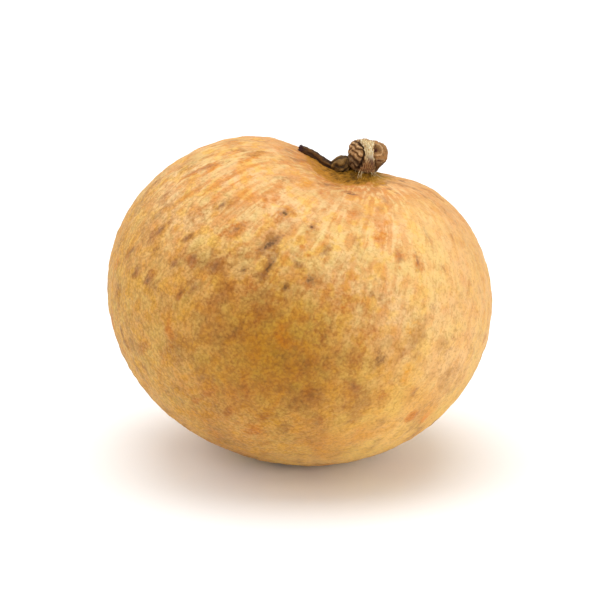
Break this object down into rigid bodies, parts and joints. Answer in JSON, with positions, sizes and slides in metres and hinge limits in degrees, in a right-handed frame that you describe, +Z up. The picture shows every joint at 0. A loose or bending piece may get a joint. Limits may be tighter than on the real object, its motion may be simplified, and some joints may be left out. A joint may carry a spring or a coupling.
{
  "type": "whole longan fruit",
  "caption": "Round longan with a leathery tan skin, its broken stalk end in the hollow of its top, and the small dried second carpel beside the stalk.",
  "frame": {"origin": "on the surface that the fruit rests on, below the middle of its outline", "axes": "+Z up, +X along the longest extent, towards the stalk's side; the bud lies on the stalk's -X side and the strip of torn fibre faces -Y"},
  "size_m": [0.0278, 0.0268, 0.0237],
  "materials": {
    "longan_skin": "matt, finely granular, golden tan with small russet patches",
    "dry_stalk": "matt dry bark with a pale strip of torn fibre",
    "dry_carpel": "matt, dark olive bud with a dry purple-brown style"
  },
  "bodies": {
    "root": {"fruit": "longan_skin", "stalk_end": "dry_stalk", "second_carpel": "dry_carpel"}
  },
  "joints": []
}
